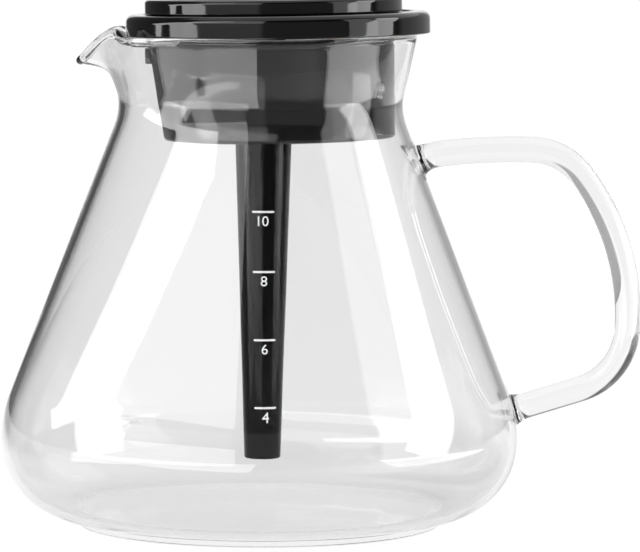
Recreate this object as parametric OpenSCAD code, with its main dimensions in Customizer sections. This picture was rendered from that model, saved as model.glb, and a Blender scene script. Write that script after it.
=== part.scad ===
// Glass coffee server with a pulled spout, a fused glass handle, an insulated
// plug lid and a mixing tube that carries fresh coffee down to the floor.
// +Z is up, the spout points to -X and the handle to +X. The origin is the
// centre of the flat underside of the foot. Millimetres and degrees.

/* [Glass body] */
// Greatest radius of the body
body_r = 77.5; // [74:0.5:80]
// Height of the widest point above the foot
body_z = 25.5; // [24:0.5:27]
// Radius of the bend from the widest point down to the foot
base_bend = 23; // [22:0.5:23.5]
// Radius of the bend from the widest point up to the cone
shoulder_bend = 40.5; // [36:0.5:44]
// Slope of the cone, measured from upright
cone_slope = 21.2; // [20:0.1:22]
// Thickness of the blown wall
wall = 2; // [1.8:0.1:2.2]
// Outer radius of the foot
foot_r = 54.4; // [52:0.2:54.4]
// Thickness of the floor at its edge
floor_t = 4.4; // [3.6:0.2:4.8]
// How far the middle of the floor rises inside
floor_rise = 1.6; // [0:0.2:3]

/* [Neck and mouth] */
// Outer radius of the neck at its narrowest
neck_r = 42.6; // [42.4:0.1:43]
// Radius of the bend at the neck
neck_bend = 16.5; // [14:0.5:20]
// Slope of the flare above the neck, measured from upright
flare_slope = 14.2; // [13:0.2:15]
// Height of the mouth
mouth_z = 146.5; // [146:0.1:147]
// How far the mouth dips towards the spout
mouth_dip = 1.1; // [0:0.1:1.2]
// Radius of the round edge that runs along the mouth
rim_bead = 1.3; // [1:0.1:1.4]

/* [Handle] */
// Radius of the glass rod
rod_r = 3.9; // [3.5:0.1:4.2]
// Radius of each flared end, inside the wall that it is fused to
weld_r = 8; // [6:0.1:8]
// Length of the flare
weld_len = 9; // [7:0.5:10]

/* [Lid] */
// Radius of the flange that covers the mouth
flange_r = 45.5; // [45:0.1:45.6]
// Distance from the body's axis to the flange's centre
flange_x = 5.2; // [5:0.1:5.4]
// Thickness of the flange
flange_t = 6; // [5:0.2:6.4]
// Radius of the top cap
cap_r = 38.5; // [38:0.1:39]
// Thickness of the top cap
cap_t = 3.8; // [3.4:0.1:4.2]
// Distance from the body's axis to the cap's centre
cap_x = 3.9; // [3.6:0.1:4.2]
// Radius of the plug at its top
plug_top_r = 36.9; // [36:0.1:37]
// Radius of the plug at its floor
plug_low_r = 34.6; // [34:0.1:34.8]
// Depth of the plug below the flange
plug_h = 31.6; // [28:0.2:32]
// Wall thickness of the plug
plug_wall = 1.6; // [1.4:0.1:2]

/* [Mixing tube] */
// Distance from the body's axis to the tube's axis
tube_x = 0.9; // [0.8:0.1:1]
// Height of the tube's open lower end above the foot
tube_end_z = 19.8; // [17:0.2:24]
// Outer radius of the tube's lower end
tube_end_r = 5.4; // [5:0.1:5.5]
// Slope of the tube's side, measured from upright
tube_slope = 1.82; // [1.7:0.02:1.84]
// Wall thickness of the tube
tube_wall = 1.2; // [1:0.1:1.4]
// Length of each printed cup line
mark_len = 6.8; // [5:0.2:7]

/* [Hidden] */
$fn = 96;
glass_color = [0.82, 0.87, 0.88, 0.35];

// Profile of the glass, as radius and height.
arc_steps = 16;
foot_edge = 1.2;
base_centre = [body_r - base_bend, body_z];
shoulder_centre = [body_r - shoulder_bend, body_z];
cone_start = shoulder_centre + shoulder_bend * [cos(cone_slope), sin(cone_slope)];
cone_end_r = neck_r + neck_bend * (1 - cos(cone_slope));
cone_end_z = cone_start[1] + (cone_start[0] - cone_end_r) / tan(cone_slope);
neck_z = cone_end_z + neck_bend * sin(cone_slope);
neck_centre = [neck_r + neck_bend, neck_z];
flare_start = neck_centre - neck_bend * [cos(flare_slope), -sin(flare_slope)];
flare_top_z = mouth_z + 4;
rim_r = flare_start[0] + (mouth_z - flare_start[1]) * tan(flare_slope) - wall / 2 - 0.4;

// The spout is a trough between these points, as [x, y, z, radius of a ball].
spout_outer_points = [[-38.5, 24.5, 144.9, 1.2], [-43, 15, 147.4, 1.2], [-48.5, 8.5, 145.2, 1.2],
                      [-54.6, 2.6, 140, 1.4], [-51.5, 0, 138.9, 1.2], [-42, 0, 135.2, 1.2],
                      [-40, 10, 137, 1.2]];
spout_inner_points = [[-36.5, 22, 147.5, 0.8], [-41.4, 12.8, 149.5, 0.8], [-46.6, 6.9, 148.5, 0.8],
                      [-52.6, 1.2, 141.9, 0.8], [-52.6, 1.2, 148.5, 0.8], [-49.8, 0, 141.4, 1],
                      [-36, 0, 138.4, 1]];

// The handle's centre line starts inside the wall and turns clockwise, seen
// with the spout on the left: [radius of the bend, angle that it turns through].
handle_start = [45.9, 110.3];
handle_heading = 13;
handle_bends = [[110, 18.5], [20, 50.5], [85, 34], [15.3, 73.5]];
handle_tail = 27;
bend_steps = 9;
tail_steps = 8;
rod_sides = 18;

// Heights in the lid's own frame, which starts at the mouth and leans with it.
seat_gap = 0.15;
gasket_low = 0;
flange_z = 0.3;
flange_top = flange_z + flange_t;
flange_edge = 1.4;
flange_fall = 0.5;
flange_bore_r = 33.5;
seal_t = 0.4;
seal_rim = 1.2;
cap_z = flange_top + seal_t;
cap_edge = 0.9;
cap_lip = 2.6;
dish_drop = 1;
dish_fall = 0.8;
spigot_wall = 1.6;
spigot_depth = 3;
spigot_gap = 0.3;
plug_top_x = 3;
plug_low_x = 5.1;
plug_edge = 1;
plug_floor = 2;
plug_z = flange_z - plug_h;
lug = [1.8, 6, 5];
lug_top = -3.7;
gasket_r = [44.9, 47.1];
gasket_t = 1.2;

// Places of the tube, its sleeve and its seat in the cap.
lean_x = 0.6;
sleeve_x = tube_x - lean_x / 3;
sleeve_bore = 10.5;
sleeve_wall = 1.2;
sleeve_low = plug_z + plug_floor;
floor_hole_r = 9;
floor_hole_x = tube_x - lean_x;
ring_r = 0.8;
seat_r = 13.4;
seat_z = cap_z + 0.9;
seat_hole_r = 10.2;
head_r = 12.6;
head_t = 1.2;
head_z = mouth_z + seat_z + 0.3;
tube_top_r = tube_end_r + (head_z - tube_end_z) * tan(tube_slope);
tube_edge = 0.7;
mouth_funnel = 2.6;
mark_z = [94.2, 76.2, 55.7, 35.2];
mark_shift = [0.1, 0.4, 0.7, 1];
mark_h = 0.6;
mark_t = 0.12;

function arc(centre, r, from, to) =
    [for (i = [0 : arc_steps], a = [from + (to - from) * i / arc_steps]) centre + r * [cos(a), sin(a)]];

// Outline of the body from the foot up to the flare, moved inwards by `inset`.
function side_profile(inset) = concat(
    arc(base_centre, base_bend - inset, -90, 0),
    arc(shoulder_centre, shoulder_bend - inset, 0, cone_slope),
    arc(neck_centre, neck_bend + inset, 180 + cone_slope, 180 - flare_slope),
    [[flare_start[0] - inset / cos(flare_slope) + (flare_top_z - flare_start[1]) * tan(flare_slope),
      flare_top_z], [0, flare_top_z]]);

module outer_glass()
    rotate_extrude()
        polygon(concat(
            [[0, 0], [foot_r - foot_edge, 0]],
            arc([foot_r - foot_edge, foot_edge], foot_edge, -90, 0),
            side_profile(0)));

module inner_space()
    rotate_extrude()
        polygon(concat([[0, floor_t + floor_rise], [foot_r - 22, floor_t + floor_rise * 0.75],
                        [foot_r - 6, floor_t]], side_profile(wall)));

// Everything on the mouth leans with it towards the spout.
module at_mouth() translate([0, 0, mouth_z]) rotate([0, -mouth_dip, 0]) children();

module ball_hull(points)
    hull()
        for (p = points, side = [-1, 1])
            translate([p[0], side * p[1], p[2]]) sphere(r = p[3], $fn = 24);

module rim_ring()
    at_mouth() translate([0, 0, -rim_bead - seat_gap])
        rotate_extrude() translate([rim_r, 0]) circle(r = rim_bead, $fn = 32);

module glass_vessel() color(glass_color)
    difference() {
        union() {
            difference() {
                outer_glass();
                at_mouth() translate([-100, -100, -rim_bead - seat_gap]) cube([200, 200, 40]);
            }
            rim_ring();
            ball_hull(spout_outer_points);
        }
        inner_space();
        ball_hull(spout_inner_points);
        translate([0, 0, -1]) cylinder(r = foot_r, h = floor_t + floor_rise + 1.4);
    }

// The foot and the floor are one pressed disc, fused to the blown wall.
module glass_foot() color(glass_color)
    rotate_extrude()
        polygon(concat(
            [[0, 0], [foot_r - foot_edge, 0]],
            arc([foot_r - foot_edge, foot_edge], foot_edge, -90, 0),
            [[foot_r, floor_t], [foot_r - 6, floor_t], [foot_r - 22, floor_t + floor_rise * 0.75],
             [0, floor_t + floor_rise]]));

// Centre line of the rod: a list of [place, heading], one bend after another,
// then the straight tail into the lower weld.
function on_bend(p, heading, r, turn) =
    p + r * [sin(heading) - sin(heading - turn), cos(heading - turn) - cos(heading)];
function rod_path(p, heading, bends, i = 0) =
    i == len(bends)
        ? [for (k = [0 : tail_steps])
              [p + handle_tail * k / tail_steps * [cos(heading), sin(heading)], heading]]
        : concat([for (k = [0 : bend_steps - 1], turn = [bends[i][1] * k / bend_steps])
                     [on_bend(p, heading, bends[i][0], turn), heading - turn]],
                 rod_path(on_bend(p, heading, bends[i][0], bends[i][1]), heading - bends[i][1], bends, i + 1));

// The rod flares out towards both of its ends, where it is fused to the body.
function flare(distance) = (weld_r - rod_r) * pow(max(0, 1 - distance / weld_len), 1.5);
function rod_ring(c, heading, r) =
    [for (j = [0 : rod_sides - 1], a = [360 * j / rod_sides])
        [c[0] - r * cos(a) * sin(heading), r * sin(a), c[1] + r * cos(a) * cos(heading)]];

module glass_handle() color(glass_color) {
    path = rod_path(handle_start, handle_heading, handle_bends);
    last = len(path) - 1;
    rings = [for (p = path)
        rod_ring(p[0], p[1], rod_r + flare(norm(p[0] - path[0][0])) + flare(norm(p[0] - path[last][0])))];
    difference() {
        polyhedron(
            points = [for (ring = rings) each ring],
            faces = concat(
                [[for (j = [0 : rod_sides - 1]) j]],
                [for (k = [0 : last - 1], j = [0 : rod_sides - 1], next = [(j + 1) % rod_sides])
                    [k * rod_sides + next, k * rod_sides + j, (k + 1) * rod_sides + j,
                     (k + 1) * rod_sides + next]],
                [[for (j = [rod_sides - 1 : -1 : 0]) last * rod_sides + j]]));
        outer_glass();
    }
}

module gasket_shape(gap)
    translate([0, 0, gasket_low])
        intersection() {
            difference() {
                cylinder(r = gasket_r[1], h = gasket_t);
                translate([0, 0, -1]) cylinder(r = gasket_r[0], h = gasket_t + 2);
            }
            translate([flange_x, 0, -1]) cylinder(r = flange_r - gap, h = gasket_t + 2);
        }

module lid_flange() color("#101011")
    at_mouth() difference() {
        translate([flange_x, 0, 0])
            rotate_extrude()
                polygon(concat(
                    [[0, flange_z]],
                    arc([flange_r - flange_edge, flange_z + flange_edge], flange_edge, -90, 0),
                    arc([flange_r - flange_edge, flange_top - flange_fall - flange_edge], flange_edge, 0, 90),
                    [[cap_r, flange_top], [0, flange_top]]));
        translate([cap_x, 0, -1]) cylinder(r = flange_bore_r, h = flange_top + 2);
        gasket_shape(1.2);
    }

module rim_gasket() color("#c9c9c4") at_mouth() gasket_shape(1.2);

module cap_seal() color("#c9c9c4")
    at_mouth() translate([cap_x, 0, flange_top])
        difference() {
            cylinder(r = cap_r - seal_rim, h = seal_t);
            translate([0, 0, -1]) cylinder(r = flange_bore_r, h = seal_t + 2);
        }

module lid_top_cap() color("#0c0c0d")
    at_mouth() difference() {
        union() {
            translate([cap_x, 0, 0])
                rotate_extrude()
                    polygon(concat(
                        [[0, cap_z]],
                        arc([cap_r - cap_edge, cap_z + cap_edge], cap_edge, -90, 0),
                        arc([cap_r - cap_edge, cap_z + cap_t - cap_edge], cap_edge, 0, 90),
                        [[cap_r - cap_lip, cap_z + cap_t], [cap_r - cap_lip - dish_drop, cap_z + cap_t - dish_drop],
                         [seat_r, cap_z + cap_t - dish_drop - dish_fall],
                         [0, cap_z + cap_t - dish_drop - dish_fall]]));
            translate([cap_x, 0, cap_z - spigot_depth]) difference() {
                cylinder(r = flange_bore_r - spigot_gap, h = spigot_depth);
                translate([0, 0, -1]) cylinder(r = flange_bore_r - spigot_gap - spigot_wall, h = spigot_depth + 1);
            }
        }
        translate([tube_x, 0, seat_z]) cylinder(r = seat_r, h = cap_t);
        translate([tube_x, 0, cap_z - 1]) cylinder(r = seat_hole_r, h = cap_t);
    }

module plug_shape(inset, low, high)
    hull() {
        translate([plug_top_x, 0, high]) cylinder(r = plug_top_r - inset, h = 0.01);
        translate([plug_low_x, 0, low + plug_edge]) cylinder(r = plug_low_r - inset, h = 0.01);
        translate([plug_low_x, 0, low]) cylinder(r = plug_low_r - inset - plug_edge, h = 0.01);
    }

module lid_plug() color("#1b1b1d")
    at_mouth() difference() {
        union() {
            plug_shape(0, plug_z, flange_z - 0.01);
            translate([plug_top_x - plug_top_r - 1, -lug[1] / 2, lug_top - lug[2]]) cube(lug);
        }
        plug_shape(plug_wall, plug_z + plug_floor, flange_z + 1);
        translate([floor_hole_x, 0, plug_z - 1]) cylinder(r = floor_hole_r, h = plug_floor + 2);
    }

module tube_sleeve() color("#1b1b1d")
    at_mouth() translate([sleeve_x, 0, sleeve_low])
        difference() {
            cylinder(r = sleeve_bore + sleeve_wall, h = cap_z - sleeve_low);
            translate([0, 0, -1]) cylinder(r = sleeve_bore, h = cap_z - sleeve_low + 2);
        }

module sleeve_o_ring() color("#c9c9c4")
    at_mouth() translate([sleeve_x, 0, sleeve_low + ring_r])
        rotate_extrude() translate([sleeve_bore + sleeve_wall + ring_r, 0]) circle(r = ring_r, $fn = 24);

module tube_cone(grow)
    translate([tube_x, 0, tube_end_z])
        cylinder(r1 = tube_end_r + grow, r2 = tube_top_r + grow, h = head_z - tube_end_z);

module mixing_tube() color("#0c0c0d")
    translate([tube_x, 0, 0])
        rotate_extrude()
            polygon(concat(
                [[tube_end_r - tube_wall, tube_end_z]],
                arc([tube_end_r - tube_edge, tube_end_z + tube_edge], tube_edge, -90, 0),
                [[tube_top_r, head_z], [head_r, head_z], [head_r, head_z + head_t],
                 [head_r - 1, head_z + head_t], [tube_top_r - tube_wall, head_z - mouth_funnel]]));

module tube_marks() color("white")
    intersection() {
        difference() {
            tube_cone(mark_t);
            tube_cone(0);
        }
        for (i = [0 : len(mark_z) - 1])
            translate([tube_x + mark_shift[i] - mark_len / 2, -2 * tube_top_r, mark_z[i] - mark_h / 2])
                cube([mark_len, 2 * tube_top_r, mark_h]);
    }

glass_vessel();
glass_foot();
glass_handle();
lid_flange();
lid_top_cap();
lid_plug();
cap_seal();
rim_gasket();
tube_sleeve();
sleeve_o_ring();
mixing_tube();
tube_marks();
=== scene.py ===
from math import atan2, cos, degrees, hypot, pi, radians, sin, tan

import bmesh
import bpy
from mathutils import Matrix, Vector


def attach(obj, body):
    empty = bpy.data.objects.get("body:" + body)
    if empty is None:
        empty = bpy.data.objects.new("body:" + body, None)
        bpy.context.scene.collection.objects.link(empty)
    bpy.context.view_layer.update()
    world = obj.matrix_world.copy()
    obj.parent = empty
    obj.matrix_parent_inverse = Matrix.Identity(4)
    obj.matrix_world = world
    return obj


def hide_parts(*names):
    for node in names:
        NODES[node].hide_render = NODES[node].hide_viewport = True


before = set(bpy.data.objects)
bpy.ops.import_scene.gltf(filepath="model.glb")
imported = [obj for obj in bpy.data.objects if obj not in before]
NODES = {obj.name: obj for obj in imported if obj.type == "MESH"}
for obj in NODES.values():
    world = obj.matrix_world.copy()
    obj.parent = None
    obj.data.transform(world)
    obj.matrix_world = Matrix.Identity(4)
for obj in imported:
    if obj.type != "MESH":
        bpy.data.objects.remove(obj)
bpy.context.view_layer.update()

# Lengths below are in millimetres and angles in degrees, in the part's own frame.
MM = 0.001
AROUND = 176

# ------------------------------------------------------------------ helpers


def clamp(x, low=0.0, high=1.0):
    return max(low, min(high, x))


def smooth(x):
    x = clamp(x)
    return x * x * (3 - 2 * x)


def spline(points, x):
    """A smooth curve with no overshoot through (x, y) points in rising x."""
    xs, ys = [p[0] for p in points], [p[1] for p in points]
    if x <= xs[0]:
        return ys[0]
    if x >= xs[-1]:
        return ys[-1]
    n = len(xs)
    slope = [(ys[i + 1] - ys[i]) / (xs[i + 1] - xs[i]) for i in range(n - 1)]
    tangent = [0.0] * n
    for i in range(1, n - 1):
        if slope[i - 1] * slope[i] > 0:
            tangent[i] = 2 * slope[i - 1] * slope[i] / (slope[i - 1] + slope[i])
    i = next(k for k in range(n - 1) if x <= xs[k + 1])
    h = xs[i + 1] - xs[i]
    t = (x - xs[i]) / h
    return (
        ys[i] * (1 + 2 * t) * (1 - t) ** 2
        + tangent[i] * h * t * (1 - t) ** 2
        + ys[i + 1] * t * t * (3 - 2 * t)
        + tangent[i + 1] * h * t * t * (t - 1)
    )


def arc(centre, r, start, end, steps, ends=(True, True)):
    """Points (radius, height) of an arc."""
    first, last = (0 if ends[0] else 1), (steps if ends[1] else steps - 1)
    out = []
    for i in range(first, last + 1):
        a = radians(start + (end - start) * i / steps)
        out.append((centre[0] + r * cos(a), centre[1] + r * sin(a)))
    return out


def line(a, b, steps, ends=(True, True)):
    first, last = (0 if ends[0] else 1), (steps if ends[1] else steps - 1)
    return [
        tuple(p + (q - p) * i / steps for p, q in zip(a, b))
        for i in range(first, last + 1)
    ]


def make_mesh(name, vertices, faces, matrix=None, is_smooth=True):
    mesh = bpy.data.meshes.new(name)
    mesh.from_pydata([Vector(v) * MM for v in vertices], [], faces)
    if matrix is not None:
        mesh.transform(matrix)
    mesh.validate()
    mesh.update()
    for p in mesh.polygons:
        p.use_smooth = is_smooth
    ob = bpy.data.objects.new(name, mesh)
    bpy.context.scene.collection.objects.link(ob)
    return ob


def face_out(ob):
    """Turns the faces of a closed mesh outwards."""
    me = ob.data
    volume = 0.0
    for p in me.polygons:
        v = [me.vertices[i].co for i in p.vertices]
        for k in range(1, len(v) - 1):
            volume += v[0].dot(v[k].cross(v[k + 1]))
    if volume < 0:
        me.flip_normals()
    return ob


def rounded(corners, steps=6, support=0.25):
    """Rounds the corners (centre x, radius, height, fillet) of a section, with a
    support point beside each fillet so that the flats stay flat in shading."""
    out = []
    n = len(corners)
    for i, c in enumerate(corners):
        fillet = c[3]
        if fillet <= 0:
            out.append(c[:3])
            continue
        p, q = corners[i - 1], corners[(i + 1) % n]
        u = Vector((p[1] - c[1], p[2] - c[2]))
        w = Vector((q[1] - c[1], q[2] - c[2]))
        lu, lw = u.length, w.length
        u.normalize()
        w.normalize()
        half = u.angle(w) / 2
        cut = min(fillet / tan(half), lu * 0.48, lw * 0.48)
        r = cut * tan(half)
        middle = (u + w).normalized() * (r / sin(half))
        centre = Vector((c[1], c[2])) + middle
        a0 = Vector((c[1], c[2])) + u * cut - centre
        a1 = Vector((c[1], c[2])) + w * cut - centre
        start, turn = atan2(a0.y, a0.x), atan2(a1.y, a1.x) - atan2(a0.y, a0.x)
        turn = (turn + pi) % (2 * pi) - pi
        if lu > 2 * cut + 2 * support:
            s = Vector((c[1], c[2])) + u * (cut + support)
            out.append((c[0], s.x, s.y))
        for k in range(steps + 1):
            a = start + turn * k / steps
            out.append((c[0], centre.x + r * cos(a), centre.y + r * sin(a)))
        if lw > 2 * cut + 2 * support:
            s = Vector((c[1], c[2])) + w * (cut + support)
            out.append((c[0], s.x, s.y))
    return out


def lathe(name, section, matrix=None, around=AROUND):
    """A closed body, round like a torus, through rings (centre x, radius, height)."""
    vertices, faces, rows = [], [], []
    for cx, r, z in section:
        rows.append(list(range(len(vertices), len(vertices) + around)))
        for j in range(around):
            a = 2 * pi * j / around
            vertices.append((cx + r * cos(a), r * sin(a), z))
    for a, b in zip(rows, rows[1:] + rows[:1]):
        for j in range(around):
            k = (j + 1) % around
            faces.append((a[j], b[j], b[k], a[k]))
    return face_out(make_mesh(name, vertices, faces, matrix))


# ---------------------------------------------------------------- materials


def material(name, color, roughness, **inputs):
    mat = bpy.data.materials.new(name)
    mat.use_nodes = True
    b = mat.node_tree.nodes["Principled BSDF"]
    b.inputs["Base Color"].default_value = (*color, 1)
    b.inputs["Roughness"].default_value = roughness
    for key, value in inputs.items():
        b.inputs[key.replace("_", " ")].default_value = value
    return mat, b


def node(mat, kind, links=(), **values):
    """Adds a node. The values set its properties or inputs, and the links join a
    socket to one of its inputs."""
    n = mat.node_tree.nodes.new(kind)
    for key, value in values.items():
        if key in n.inputs.keys():
            n.inputs[key].default_value = value
        else:
            setattr(n, key, value)
    for source, target in links:
        mat.node_tree.links.new(source, n.inputs[target])
    return n


def calc(mat, op, first, second=None):
    """A Math node on numbers or sockets; mat may be a world too."""
    n = node(mat, "ShaderNodeMath", operation=op)
    for i, value in enumerate((first, second)):
        if isinstance(value, (int, float)):
            n.inputs[i].default_value = value
        elif value is not None:
            mat.node_tree.links.new(value, n.inputs[i])
    return n.outputs[0]


def coordinates(mat, scale=(1, 1, 1)):
    place = node(mat, "ShaderNodeTexCoord")
    return node(
        mat, "ShaderNodeMapping", [(place.outputs["Object"], "Vector")], Scale=scale
    )


def noise(mat, vector, scale, detail=2.0, rough=0.5):
    return node(
        mat,
        "ShaderNodeTexNoise",
        [(vector.outputs["Vector"], "Vector")],
        Scale=scale,
        Detail=detail,
        Roughness=rough,
    )


def ramp(mat, source, low, high, a, b):
    """Maps source from low..high to the grey values or colours a..b."""
    n = node(mat, "ShaderNodeValToRGB", [(source, "Fac")])
    n.color_ramp.elements[0].position, n.color_ramp.elements[1].position = low, high
    n.color_ramp.elements[0].color = (*a, 1) if isinstance(a, tuple) else (a, a, a, 1)
    n.color_ramp.elements[1].color = (*b, 1) if isinstance(b, tuple) else (b, b, b, 1)
    return n.outputs["Color"]


def bump(mat, bsdf, source, strength, distance):
    n = node(
        mat,
        "ShaderNodeBump",
        [(source, "Height")],
        Strength=strength,
        Distance=distance,
    )
    mat.node_tree.links.new(n.outputs["Normal"], bsdf.inputs["Normal"])


# The glass's grey at the foot and above it, and the heights, in metres, between.
FOOT_TINT, WALL_TINT = 0.75, 0.895
TINT_LOW, TINT_HIGH = 0.002, 0.022


def glass_material():
    """Clear blown borosilicate glass, with the faint waviness of drawn glass."""
    mat, b = material(
        "clear_glass", (0.895, 0.896, 0.896), 0.0, IOR=1.47, Transmission_Weight=1.0
    )
    wave = noise(mat, coordinates(mat, (1, 1, 0.35)), 38, 1.0)
    bump(mat, b, wave.outputs["Fac"], 0.12, 0.0012)
    # The glass is darker towards the bottom: its grey runs from the foot's value at 2 mm
    # up to the wall's value at 22 mm.
    place = node(mat, "ShaderNodeTexCoord")
    split = node(
        mat, "ShaderNodeSeparateXYZ", [(place.outputs["Object"], "Vector")]
    )
    height = node(mat, "ShaderNodeMapRange", [(split.outputs["Z"], "Value")])
    height.inputs["From Min"].default_value = TINT_LOW
    height.inputs["From Max"].default_value = TINT_HIGH
    mat.node_tree.links.new(
        ramp(mat, height.outputs["Result"], 0.0, 1.0, FOOT_TINT, WALL_TINT),
        b.inputs["Base Color"],
    )
    return mat


def gloss_material(name, dark, light, roughness, stretch=(1, 1, 1), shine=0.5):
    """Moulded gloss plastic: a deep colour with slight mottling, a roughness that
    varies with handling, and the fine orange peel of a polished mould."""
    mat, b = material(name, dark, roughness, IOR=1.5, Specular_IOR_Level=shine)
    place = coordinates(mat, stretch)
    cloud = noise(mat, place, 26, 3.0)
    mat.node_tree.links.new(
        ramp(mat, cloud.outputs["Fac"], 0.35, 0.7, dark, light), b.inputs["Base Color"]
    )
    haze = noise(mat, place, 90, 4.0, 0.6)
    mat.node_tree.links.new(
        ramp(mat, haze.outputs["Fac"], 0.3, 0.75, roughness * 0.75, roughness * 1.35),
        b.inputs["Roughness"],
    )
    peel = noise(mat, place, 240, 1.0)
    bump(mat, b, peel.outputs["Fac"], 0.06, 0.0003)
    return mat


def silicone_material():
    mat, b = material(
        "silicone",
        (0.62, 0.62, 0.6),
        0.42,
        Subsurface_Weight=0.25,
        Subsurface_Scale=0.002,
    )
    cloud = noise(mat, coordinates(mat), 60, 3.0)
    mat.node_tree.links.new(
        ramp(
            mat, cloud.outputs["Fac"], 0.3, 0.7, (0.55, 0.55, 0.53), (0.68, 0.68, 0.66)
        ),
        b.inputs["Base Color"],
    )
    grain = noise(mat, coordinates(mat), 900, 2.0)
    bump(mat, b, grain.outputs["Fac"], 0.15, 0.0002)
    return mat


def print_material():
    mat, b = material("white_print", (0.85, 0.86, 0.86), 0.4)
    speck = noise(mat, coordinates(mat), 1400, 3.0)
    mat.node_tree.links.new(
        ramp(
            mat, speck.outputs["Fac"], 0.25, 0.55, (0.74, 0.75, 0.75), (0.88, 0.89, 0.89)
        ),
        b.inputs["Base Color"],
    )
    bump(mat, b, speck.outputs["Fac"], 0.1, 0.0001)
    # Painted light: the white print glows faintly of its own, so it looks brighter than
    # the lamps alone would make it.
    b.inputs["Emission Color"].default_value = (1, 1, 1, 1)
    b.inputs["Emission Strength"].default_value = 0.4
    return mat


GLASS = glass_material()
BLACK = gloss_material(
    "black_gloss", (0.0012, 0.0012, 0.0014), (0.0024, 0.0024, 0.0026), 0.07
)
PLUG = gloss_material(
    "plug_gloss", (0.0035, 0.0035, 0.0038), (0.006, 0.006, 0.0064), 0.09, (1, 1, 0.4)
)
TUBE = gloss_material(
    "tube_gloss",
    (0.0012, 0.0012, 0.0014),
    (0.0024, 0.0024, 0.0026),
    0.12,
    (1, 1, 0.15),
    shine=0.22,
)
SILICONE = silicone_material()
PRINT = print_material()


def finish_piece(ob, mat, body, *replaced, slot=None):
    ob.data.materials.clear()
    ob.data.materials.append(mat)
    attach(ob, body)
    if replaced:
        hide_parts(*replaced)
    return ob


# -------------------------------------------------------------- glass vessel

WALL = 2.0
BASE_C, BASE_BEND = (54.5, 25.5), 23.0
SHOULDER_C, SHOULDER_BEND = (37.0, 25.5), 40.5
CONE = 21.2
NECK_C, NECK_BEND = (59.1, 126.1), 16.5
FLARE = 14.2
RIM_R = 46.1
MOUTH_Z, MOUTH_DIP = 146.5, 1.1
WALL_TOP, LIP_START = 144.2, 122
FLOOR_Z, FLOOR_SWELL, FLOOR_R = 4.4, 1.0, 53.5
VESSEL_AROUND = 192


def middle_profile():
    """Middle of the wall from the widest point up to the neck and the flare."""
    half = WALL / 2
    low = arc(SHOULDER_C, SHOULDER_BEND - half, 0, CONE, 12)
    neck = arc(NECK_C, NECK_BEND + half, 180 + CONE, 180 - FLARE, 16)
    cone = line(low[-1], neck[0], 34, (False, False))
    end = neck[-1]
    tip = (end[0] + (WALL_TOP - end[1]) * tan(radians(FLARE)), WALL_TOP)
    return low + cone + neck + line(end, tip, 22, (False, True))


# The mouth's centre line, by the angle from the spout: reach beyond the round
# mouth, and height.
SPOUT_REACH = [
    (0, 7.8), (2, 7.5), (4, 6.6), (6, 5.4), (9, 3.6),
    (13, 1.6), (17, 0.2), (22, -0.7), (28, -0.5), (36, 0),
]
RIM_HEIGHT = [
    (0, 139.0), (3, 139.8), (6, 141.8), (9, 144.0), (13, 146.3), (17, 147.5),
    (21, 147.7), (25, 147.0), (29, 145.9), (34, 145.5), (46, 145.5), (70, 145.65),
    (90, 145.7), (108, 145.8), (122, 146.7), (138, 147.6), (180, 147.9),
]
# The radius of the mouth's round edge, by the same angle.
RIM_BEADS = [(0, 1.3), (70, 1.3), (90, 1.15), (120, 1.03), (180, 1.02)]


def from_spout(a):
    """The angle from the spout, at 180 degrees, of angle a from +X."""
    return abs(a % 360 - 180)


def rim_point(a):
    """Middle of the round edge of the mouth at angle a from +X, in degrees."""
    reach = spline(SPOUT_REACH, from_spout(a))
    x = RIM_R * cos(radians(a)) - reach
    y = RIM_R * sin(radians(a))
    return Vector((x, y, spline(RIM_HEIGHT, from_spout(a))))


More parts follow.
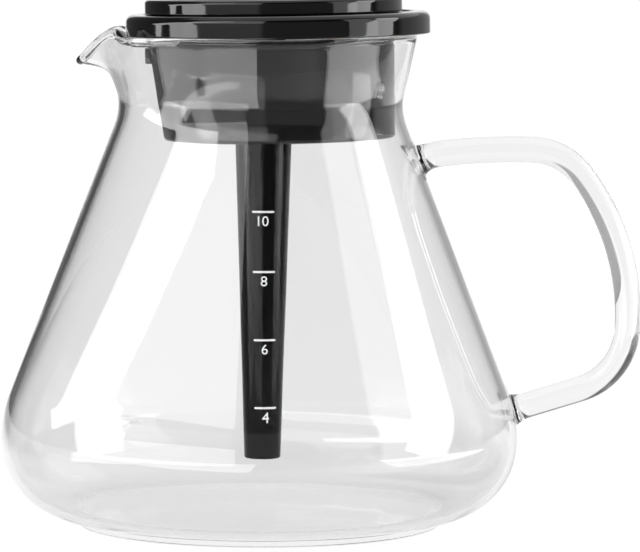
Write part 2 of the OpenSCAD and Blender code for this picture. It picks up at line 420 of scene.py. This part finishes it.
def vessel():
    rows = middle_profile()
    # Angles bunch up towards the spout, where the mouth bends most.
    turns = [2 * pi * j / VESSEL_AROUND for j in range(VESSEL_AROUND)]
    angles = [degrees(t + 0.42 * sin(t)) for t in turns]
    top = rows[-1]
    middle = []
    for r, z in rows:
        # The lip runs out nearly level before it turns down into the neck.
        t = clamp((z - LIP_START) / (top[1] - LIP_START))
        out, drop = t**4.6, smooth((t - 0.55) / 0.9) * 2
        ring = []
        for a in angles:
            base = Vector((r * cos(radians(a)), r * sin(radians(a)), z))
            end = Vector((top[0] * cos(radians(a)), top[0] * sin(radians(a)), top[1]))
            move = rim_point(a) - end
            ring.append(base + Vector((move.x * out, move.y * out, move.z * drop)))
        middle.append(ring)
    count = len(angles)

    def frame_at(i, j):
        """Outward normal and upward tangent of the middle surface."""
        up = middle[min(i + 1, len(middle) - 1)][j] - middle[max(i - 1, 0)][j]
        if i == 0:
            up = Vector((0, 0, 1))
        along = middle[i][(j + 1) % count] - middle[i][j - 1]
        up.normalize()
        normal = along.cross(up).normalized()
        return normal, up

    half = WALL / 2
    outer, inner = [], []
    for i in range(len(middle)):
        outer.append([middle[i][j] + frame_at(i, j)[0] * half for j in range(count)])
        inner.append([middle[i][j] - frame_at(i, j)[0] * half for j in range(count)])

    # Round edge: the bead's circle, from the outside over the top to the inside.
    bead = []
    last = len(middle) - 1
    frames = [frame_at(last, j) for j in range(count)]
    beads = [spline(RIM_BEADS, from_spout(a)) for a in angles]
    for k in range(15):
        a = radians(-42 + 264 * k / 14)
        bead.append([
            middle[last][j]
            + (frames[j][0] * cos(a) + frames[j][1] * sin(a)) * beads[j]
            for j in range(count)
        ])

    def ring_of(r, z):
        return [Vector((r * cos(radians(a)), r * sin(radians(a)), z)) for a in angles]

    foot = (
        [(53.2 * k / 6, 0) for k in range(1, 6)]
        + [(53.4, 0)]
        + arc((53.6, 0.8), 0.8, -90, 0, 6)
        + [(54.4, 1.9), (54.42, 2.2)]
    )
    below = arc(BASE_C, BASE_BEND, -89, 0, 22, (True, False))
    outside = [ring_of(r, z) for r, z in foot + below]
    # Inside, the floor swells gently towards the middle, with faint rings from
    # the tool that pressed it.
    floor = []
    for k in range(1, 31):
        r = FLOOR_R * k / 30
        z = FLOOR_Z + FLOOR_SWELL * (1 - smooth(r / 50))
        z += 0.02 * sin(r * 0.4) * smooth(r / 10) * (1 - smooth((r - 44) / 8))
        floor.append((r, z))
    inside_low = arc(BASE_C, BASE_BEND - WALL, -88, 0, 22, (True, False))
    inside = [ring_of(r, z) for r, z in floor + inside_low]

    # The last wall rows would run into the bead, so they stop short of it.
    stop = len(middle) - 2
    loops = outside + outer[:stop] + bead + inner[:stop][::-1] + inside[::-1]
    vertices = [Vector((0, 0, 0))]
    rings = []
    for ring in loops:
        rings.append(range(len(vertices), len(vertices) + count))
        vertices += ring
    vertices.append(Vector((0, 0, FLOOR_Z + FLOOR_SWELL)))
    faces = []
    for j in range(count):
        k = (j + 1) % count
        faces.append((0, rings[0][k], rings[0][j]))
        faces.append((len(vertices) - 1, rings[-1][j], rings[-1][k]))
    for a, b in zip(rings, rings[1:]):
        for j in range(count):
            k = (j + 1) % count
            faces.append((a[j], a[k], b[k], b[j]))
    return face_out(make_mesh("glass_vessel_body", vertices, faces))


# -------------------------------------------------------------- glass handle

ROD_R, WELD_R, WELD_LEN = 3.9, 6.4, 6.5
HANDLE_START, HANDLE_HEADING = (45.2, 108.5), 30.0
HANDLE_BENDS = [(26, 23.2), (176, 8.6), (19.2, 50.8), (69.6, 41), (19.9, 69.1)]
HANDLE_TAIL = 23.9


def handle_path():
    """Centre line of the rod as (x, z, heading), about 1.2 mm apart."""
    x, z = HANDLE_START
    heading = HANDLE_HEADING
    out = []
    for r, turn in HANDLE_BENDS:
        steps = max(8, int(radians(turn) * r / 1.2))
        for k in range(steps):
            a = turn * k / steps
            out.append((
                x + r * (sin(radians(heading)) - sin(radians(heading - a))),
                z + r * (cos(radians(heading - a)) - cos(radians(heading))),
                heading - a,
            ))
        x += r * (sin(radians(heading)) - sin(radians(heading - turn)))
        z += r * (cos(radians(heading - turn)) - cos(radians(heading)))
        heading -= turn
    for k in range(23):
        d = HANDLE_TAIL * k / 22
        out.append((
            x + d * cos(radians(heading)), z + d * sin(radians(heading)), heading
        ))
    return out


def handle():
    path = handle_path()
    first, last = path[0], path[-1]
    vertices, faces = [], []
    sides = 40
    for x, z, heading in path:
        d0 = hypot(x - first[0], z - first[1])
        d1 = hypot(x - last[0], z - last[1])
        r = ROD_R + (WELD_R - ROD_R) * (
            max(0, 1 - d0 / WELD_LEN) ** 1.8 + max(0, 1 - d1 / WELD_LEN) ** 1.8
        )
        for j in range(sides):
            a = 2 * pi * j / sides
            vertices.append((
                x - r * cos(a) * sin(radians(heading)),
                r * sin(a),
                z + r * cos(a) * cos(radians(heading)),
            ))
    count = len(path)
    for k in range(count - 1):
        for j in range(sides):
            n = (j + 1) % sides
            faces.append((
                k * sides + n, k * sides + j, (k + 1) * sides + j, (k + 1) * sides + n
            ))
    start, end = len(vertices), len(vertices) + 1
    vertices.append((first[0], 0, first[1]))
    vertices.append((last[0], 0, last[1]))
    for j in range(sides):
        n = (j + 1) % sides
        faces.append((start, j, n))
        faces.append((end, (count - 1) * sides + n, (count - 1) * sides + j))
    return face_out(make_mesh("glass_handle_rod", vertices, faces))


def joined_glass():
    """The vessel with the handle fused on: one body of glass."""
    body, rod = vessel(), handle()
    mod = body.modifiers.new("fuse", "BOOLEAN")
    mod.operation, mod.object, mod.solver = "UNION", rod, "EXACT"
    dg = bpy.context.evaluated_depsgraph_get()
    mesh = bpy.data.meshes.new_from_object(body.evaluated_get(dg))
    body.modifiers.clear()
    body.data = mesh
    bpy.data.objects.remove(rod)
    for p in mesh.polygons:
        p.use_smooth = True
    body.name = "glass_server"
    return body


glass = joined_glass()
finish_piece(
    glass, GLASS, "vessel", "glass_vessel", "glass_foot", "glass_handle", slot="glass"
)

# ----------------------------------------------------------------------- lid

LEAN = Matrix.Translation((0, 0, MOUTH_Z * MM)) @ Matrix.Rotation(
    radians(-MOUTH_DIP), 4, "Y"
)
FLANGE_X, FLANGE_R, FLANGE_LOW, FLANGE_TOP = 5.2, 45.5, 0.3, 6.3
FLANGE_RIM, SEAT_TOP = 7.0, 2.7
CAP_X, CAP_R, CAP_LOW, CAP_TOP = 3.9, 38.5, 6.7, 11.5
TUBE_X = 0.9
SEAT_R, SEAT_LOW, SEAT_HOLE_R = 13.4, 7.6, 10.2

flange = lathe(
    "lid_flange_plate",
    rounded([
        (CAP_X, 33.5, FLANGE_LOW, 0.3),
        (3.2, 37.4, FLANGE_LOW, 0.2),
        (3.2, 37.4, SEAT_TOP, 0.2),
        (FLANGE_X, 44.6, SEAT_TOP, 0.2),
        (FLANGE_X, 44.6, FLANGE_LOW, 0.2),
        (FLANGE_X, FLANGE_R, FLANGE_LOW, 0.4),
        (FLANGE_X, FLANGE_R, FLANGE_RIM, 2.2),
        (FLANGE_X, 40.6, FLANGE_RIM, 0.5),
        (FLANGE_X, 40.0, FLANGE_TOP, 0),
        (CAP_X, 33.5, FLANGE_TOP, 0.3),
    ]),
    LEAN,
)
finish_piece(flange, BLACK, "lid", "lid_flange", slot="black_gloss")

cap = lathe(
    "lid_cap_plate",
    rounded([
        (TUBE_X, SEAT_HOLE_R, CAP_LOW, 0.2),
        (CAP_X, 31.6, CAP_LOW, 0.2),
        (CAP_X, 31.6, CAP_LOW - 3, 0.3),
        (CAP_X, 33.2, CAP_LOW - 3, 0.3),
        (CAP_X, 33.2, CAP_LOW, 0),
        (CAP_X, CAP_R, CAP_LOW, 0.8),
        (CAP_X, CAP_R, CAP_TOP, 1.3),
        (CAP_X, CAP_R - 2.6, CAP_TOP, 0.8),
        (CAP_X, CAP_R - 3.8, CAP_TOP - 1.1, 0.6),
        (TUBE_X, SEAT_R, CAP_TOP - 2.8, 0.3),
        (TUBE_X, SEAT_R, SEAT_LOW, 0.2),
        (TUBE_X, SEAT_HOLE_R, SEAT_LOW, 0.2),
    ]),
    LEAN,
)
finish_piece(cap, BLACK, "lid", "lid_top_cap", slot="black_gloss")

PLUG_TOP_X, PLUG_TOP_R, PLUG_LOW_X, PLUG_LOW_R = 3.0, 36.9, 5.1, 34.6
PLUG_LOW, PLUG_WALL, PLUG_FLOOR = -30.8, 1.6, 2.0
plug = lathe(
    "lid_plug_shell",
    rounded([
        (0.3, 9.0, PLUG_LOW, 0.3),
        (PLUG_LOW_X, PLUG_LOW_R, PLUG_LOW, 1.2),
        (PLUG_TOP_X, PLUG_TOP_R, FLANGE_LOW - 0.02, 0),
        (PLUG_TOP_X, PLUG_TOP_R - PLUG_WALL, FLANGE_LOW - 0.02, 0),
        (PLUG_LOW_X, PLUG_LOW_R - PLUG_WALL, PLUG_LOW + PLUG_FLOOR, 1.0),
        (0.3, 9.0, PLUG_LOW + PLUG_FLOOR, 0.3),
    ]),
    LEAN,
)
finish_piece(plug, PLUG, "lid", "lid_plug", slot="plug_gloss")


def rounded_box(name, low, high, r, matrix=None, steps=4):
    """A box with rounded upright and level edges."""
    bm = bmesh.new()
    bmesh.ops.create_cube(bm, size=1)
    for v in bm.verts:
        v.co = Vector([
            (low[i] + high[i]) / 2 + v.co[i] * (high[i] - low[i]) for i in range(3)
        ])
    bmesh.ops.bevel(
        bm, geom=bm.edges[:], offset=r, segments=steps, profile=0.5, affect="EDGES"
    )
    bm.verts.ensure_lookup_table()
    vertices = [v.co.copy() for v in bm.verts]
    faces = [[v.index for v in f.verts] for f in bm.faces]
    bm.free()
    return face_out(make_mesh(name, vertices, faces, matrix))


lug = rounded_box("plug_lug", (-34.6, -2.6, -7.6), (-32.4, 2.6, -2.6), 0.5, LEAN)
finish_piece(lug, PLUG, "lid", slot="plug_gloss")

# ---------------------------------------------------------------------- tube

TUBE_END_Z, TUBE_END_R, TUBE_SLOPE, TUBE_WALL = 19.8, 5.4, 1.82, 1.2
HEAD_Z, HEAD_R, HEAD_T = 154.4, 12.6, 1.2


def tube_r(z):
    return TUBE_END_R + (z - TUBE_END_Z) * tan(radians(TUBE_SLOPE))


tube_section = rounded([
    (TUBE_X, TUBE_END_R - TUBE_WALL, TUBE_END_Z, 0.35),
    (TUBE_X, TUBE_END_R, TUBE_END_Z, 0.7),
    (TUBE_X, tube_r(HEAD_Z), HEAD_Z, 0.4),
    (TUBE_X, HEAD_R, HEAD_Z, 0.35),
    (TUBE_X, HEAD_R, HEAD_Z + HEAD_T, 0.45),
    (TUBE_X, HEAD_R - 1.3, HEAD_Z + HEAD_T, 0.5),
    (TUBE_X, tube_r(HEAD_Z) - TUBE_WALL, HEAD_Z - 2.6, 0.6),
])
tube = lathe("mixing_tube_shell", tube_section, around=96)
finish_piece(tube, TUBE, "tube", "mixing_tube", slot="tube_gloss")

# Printed cup lines with their numbers, wrapped on the tube's front.
MARKS = [(94.2, 0.1, "10"), (76.2, 0.4, "8"), (55.7, 0.7, "6"), (35.2, 1.0, "4")]
LINE_LEN, LINE_H, PRINT_T = 6.8, 0.6, 0.12
NUMBER_H, NUMBER_SIZE, NUMBER_DROP = 3.0, 4.15, 2.75


def wrap_on_tube(ob, x, z):
    """Lays a flat print, drawn in X and Y with its thickness in Z, on the tube."""
    for v in ob.data.vertices:
        px, pz, depth = v.co.x / MM + x - TUBE_X, v.co.y / MM + z, v.co.z / MM
        r = tube_r(pz) + depth
        a = px / tube_r(pz)
        v.co = Vector((TUBE_X + r * sin(a), -r * cos(a), pz)) * MM
    ob.data.update()
    return face_out(ob)


def printed_line(name, x, z):
    """A thin bar with round ends."""
    half, r = LINE_LEN / 2 - LINE_H / 2, LINE_H / 2
    columns = []
    for k in range(7):
        a = pi / 2 * k / 6
        columns.append((-half - r * cos(a), r * sin(a)))
    columns += [(-half + 2 * half * k / 12, r) for k in range(1, 12)]
    for k in range(6, -1, -1):
        a = pi / 2 * k / 6
        columns.append((half + r * cos(a), r * sin(a)))
    columns[0], columns[-1] = (columns[0][0], 0.02), (columns[-1][0], 0.02)
    vertices, faces = [], []
    for cx, h in columns:
        for depth in (0.0, PRINT_T):
            vertices.append((cx, -h, depth))
            vertices.append((cx, h, depth))
    for c in range(len(columns) - 1):
        a, b = c * 4, c * 4 + 4
        faces += [
            (a, a + 1, b + 1, b),
            (a + 2, b + 2, b + 3, a + 3),
            (a, b, b + 2, a + 2),
            (a + 1, a + 3, b + 3, b + 1),
        ]
    e = (len(columns) - 1) * 4
    faces += [(0, 2, 3, 1), (e, e + 1, e + 3, e + 2)]
    return wrap_on_tube(make_mesh(name, vertices, faces, None, False), x, z)


def printed_number(name, text, x, z):
    """A number drawn as flat closed strokes and wrapped on the tube."""
    curve = bpy.data.curves.new(name, "FONT")
    curve.body = text
    curve.size = NUMBER_SIZE * MM
    curve.align_x, curve.align_y = "CENTER", "CENTER"
    curve.extrude = PRINT_T / 2 * MM
    curve.resolution_u = 6
    curve.space_character = 0.95
    ob = bpy.data.objects.new(name + "_curve", curve)
    bpy.context.scene.collection.objects.link(ob)
    dg = bpy.context.evaluated_depsgraph_get()
    mesh = bpy.data.meshes.new_from_object(ob.evaluated_get(dg))
    bpy.data.objects.remove(ob)
    bm = bmesh.new()
    bm.from_mesh(mesh)
    bmesh.ops.remove_doubles(bm, verts=bm.verts, dist=1e-7)
    bm.to_mesh(mesh)
    bm.free()
    xs = [v.co.x for v in mesh.vertices]
    ys = [v.co.y for v in mesh.vertices]
    cx, cy = (min(xs) + max(xs)) / 2, (min(ys) + max(ys)) / 2
    grow = NUMBER_H * MM / (max(ys) - min(ys))
    for v in mesh.vertices:
        v.co = Vector((
            (v.co.x - cx) * grow, (v.co.y - cy) * grow, v.co.z + PRINT_T / 2 * MM
        ))
    out = bpy.data.objects.new(name, mesh)
    bpy.context.scene.collection.objects.link(out)
    return wrap_on_tube(out, x, z)


for height, shift, text in MARKS:
    middle = TUBE_X + shift
    bar = printed_line("cup_line_" + text, middle, height)
    number = printed_number("cup_number_" + text, text, middle, height - NUMBER_DROP)
    replaced = ("tube_marks",) if text == "10" else ()
    finish_piece(bar, PRINT, "tube", *replaced, slot="print_white")
    finish_piece(number, PRINT, "tube", slot="print_white")

for name, mat in (
    ("cap_seal", SILICONE),
    ("rim_gasket", SILICONE),
    ("sleeve_o_ring", SILICONE),
    ("tube_sleeve", PLUG),
):
    ob = NODES[name]
    ob.data.materials.clear()
    ob.data.materials.append(mat)

# --------------------------------------------------------------------- stage


def disc(name, r, z, rings=24, around=96):
    vertices, faces = [(0, 0, z)], []
    for i in range(1, rings + 1):
        for j in range(around):
            a = 2 * pi * j / around
            rr = r * i / rings
            vertices.append((rr * cos(a), rr * sin(a), z))
    for j in range(around):
        k = (j + 1) % around
        faces.append((0, 1 + j, 1 + k))
        for i in range(rings - 1):
            a, b = 1 + i * around, 1 + (i + 1) * around
            faces.append((a + j, b + j, b + k, a + k))
    return make_mesh(name, vertices, faces)


# The floor's own glow at the object, at the sides and in front.
GLOW_OBJECT, GLOW_SIDES, GLOW_FRONT = 0.93, 0.38, 0.14
FLOOR_DISC_R, FLOOR_DISC_Z = 1500, 0.04


def lay_floor():
    """A pale floor, lit white from below around the object and behind it, and
    greyer towards the front and the sides. Distances in it are in metres."""
    floor = disc("studio_floor", FLOOR_DISC_R, FLOOR_DISC_Z)
    mat, b = material("pale_floor", (0.12, 0.12, 0.12), 0.7)
    b.inputs["Specular IOR Level"].default_value = 0.1
    place = node(mat, "ShaderNodeTexCoord")
    split = node(
        mat, "ShaderNodeSeparateXYZ", [(place.outputs["Object"], "Vector")]
    )
    x, y = split.outputs["X"], split.outputs["Y"]

    def rise(value, low, high):
        n = node(
            mat, "ShaderNodeMapRange", [(value, "Value")], interpolation_type="SMOOTHSTEP"
        )
        n.inputs["From Min"].default_value = low
        n.inputs["From Max"].default_value = high
        return n.outputs["Result"]

    behind = calc(mat, "MAXIMUM", y, 0.0)
    spread = calc(mat, "MULTIPLY", behind, 1.5)
    right = rise(calc(mat, "SUBTRACT", x, spread), 0.135, 0.28)
    spread = calc(mat, "MULTIPLY", behind, 0.075)
    outward = calc(mat, "MULTIPLY", x, -1.0)
    left = rise(calc(mat, "SUBTRACT", outward, spread), 0.105, 0.26)
    front = rise(calc(mat, "MULTIPLY", y, -1.0), 0.11, 0.40)
    grey = calc(mat, "MAXIMUM", calc(mat, "MAXIMUM", right, left), front)
    shade = calc(
        mat,
        "SUBTRACT",
        calc(mat, "MULTIPLY", grey, GLOW_OBJECT - GLOW_SIDES),
        calc(mat, "MULTIPLY", front, GLOW_FRONT - GLOW_SIDES),
    )
    glow = calc(mat, "SUBTRACT", GLOW_OBJECT, shade)
    b.inputs["Emission Color"].default_value = (1, 1, 1, 1)
    mat.node_tree.links.new(glow, b.inputs["Emission Strength"])
    floor.data.materials.append(mat)


lay_floor()


def soft_light(name, centre, facing, size, level, lean=0.0, along=(0, 0, 1)):
    """A soft box in millimetres: a flat even light of the given radiance. Its size
    is across and along, and it is leaned over by that many degrees in its plane."""
    data = bpy.data.lights.new(name, "AREA")
    data.shape = "RECTANGLE"
    data.size, data.size_y = size[0] * MM, size[1] * MM
    data.energy = pi * level * data.size * data.size_y
    light = bpy.data.objects.new(name, data)
    bpy.context.scene.collection.objects.link(light)
    back = -Vector(facing).normalized()
    up = Vector(along).normalized()
    across = up.cross(back).normalized()
    turned = Matrix.Rotation(radians(-lean), 3, back)
    across, up = turned @ across, turned @ up
    rows = Matrix((across, up, back)).transposed().to_4x4()
    light.matrix_world = Matrix.Translation(Vector(centre) * MM) @ rows
    # A soft box stands outside the picture, so only its light is seen.
    light.visible_camera = False
    return light


soft_light("fill_left_high", (-330, -375, 500), (0.66, 0.75, 0), (600, 420), 1.8)
soft_light("fill_left_low", (-262, -305, 52), (0.66, 0.75, 0), (500, 100), 1.9)
soft_light("key_left_low", (-527, -165, 150), (1, 0, 0), (240, 270), 4.6, -20)
soft_light("key_left_high", (-527, -300, 462), (1, 0, 0), (102, 1050), 4.6, 51.4)
soft_light("key_right", (600, -37, 265), (-1, 0, 0), (245, 578), 4.6, 28)
soft_light("fill_right", (502, -224, 300), (-0.91, 0.41, 0), (244, 600), 1.5)
# Panels that lie on the floor in front, for the neck and the plug, which look down.
UP = (0, 0, 1)
soft_light("table_left", (-505, -575, 2), UP, (990, 750), 2.3, 0, (0, -1, 0))
soft_light("table_side", (-610, -125, 2), UP, (780, 150), 2.3, 0, (0, -1, 0))
soft_light("table_right", (553, -196, 2), UP, (350, 680), 2.5, 0, (0.8, -0.6, 0))


def environment(base, boxes):
    """Paints soft areas on a plain surround. Each is (azimuth, half width, low and
    high elevation, edge, level) in degrees: azimuth 0 is behind the camera's back,
    90 is to the right and 180 is behind the object."""
    world = bpy.data.worlds.new("studio")
    bpy.context.scene.world = world
    world.use_nodes = True
    tree = world.node_tree
    tree.nodes.clear()
    place = node(world, "ShaderNodeTexCoord")
    split = node(
        world, "ShaderNodeSeparateXYZ", [(place.outputs["Generated"], "Vector")]
    )
    x, y, z = split.outputs
    azimuth = calc(world, "ARCTAN2", x, calc(world, "MULTIPLY", y, -1.0))
    elevation = calc(world, "ARCSINE", z)

    def soft(distance, half, edge):
        """1 within half of the middle, falling to 0 over edge."""
        n = node(
            world,
            "ShaderNodeMapRange",
            [(distance, "Value")],
            interpolation_type="SMOOTHSTEP",
        )
        n.inputs["From Min"].default_value = radians(half - edge / 2)
        n.inputs["From Max"].default_value = radians(half + edge / 2)
        n.inputs["To Min"].default_value = 1.0
        n.inputs["To Max"].default_value = 0.0
        return n.outputs["Result"]

    total = None
    for az, half_w, low, high, edge, level in boxes:
        turn = calc(world, "WRAP", calc(world, "SUBTRACT", azimuth, radians(az)), pi)
        turn.node.inputs[2].default_value = -pi
        off = calc(world, "SUBTRACT", elevation, radians((low + high) / 2))
        mask = calc(
            world,
            "MULTIPLY",
            soft(calc(world, "ABSOLUTE", turn), half_w, edge),
            soft(calc(world, "ABSOLUTE", off), (high - low) / 2, edge),
        )
        # Each area replaces what is under it.
        mix = node(world, "ShaderNodeMix", data_type="FLOAT")
        tree.links.new(mask, mix.inputs[0])
        if total is None:
            mix.inputs[2].default_value = base
        else:
            tree.links.new(total, mix.inputs[2])
        mix.inputs[3].default_value = level
        total = mix.outputs[0]
    background = node(world, "ShaderNodeBackground", [(total, "Strength")])
    background.inputs["Color"].default_value = (1, 1, 1, 1)
    node(world, "ShaderNodeOutputWorld", [(background.outputs[0], "Surface")])


environment(
    0.10,
    [
        (0, 200, 52, 95, 8, 0.9),
        (0, 200, -95, -4, 2, 0.33),
        (18, 36, -4, 24, 4, 0.22),
        (18, 36, 24, 52, 4, 0.03),
        (-44, 32, -4, 24, 4, 0.7),
        (140, 34, -4, 20, 8, 0.45),
        (134, 46, 20, 70, 6, 1.0),
        (180, 14, -95, 60, 6, 1.04),
    ],
)

# -------------------------------------------------------------------- camera

EYE, TARGET = Vector((0.018, -1.36, 0.189)), Vector((0.018, 0, 0.0747))
LENS, ROLL = 255.9, 0.28

camera_data = bpy.data.cameras.new("camera")
camera = bpy.data.objects.new("camera", camera_data)
bpy.context.scene.collection.objects.link(camera)
bpy.context.scene.camera = camera
camera_data.sensor_width = 36
camera_data.lens = LENS
camera_data.clip_start, camera_data.clip_end = 0.05, 60
camera.location = EYE
camera.rotation_mode = "QUATERNION"
roll = Matrix.Rotation(radians(ROLL), 4, "Z").to_quaternion()
camera.rotation_quaternion = (TARGET - EYE).to_track_quat("-Z", "Y") @ roll

bpy.context.scene.view_settings.view_transform = "Standard"
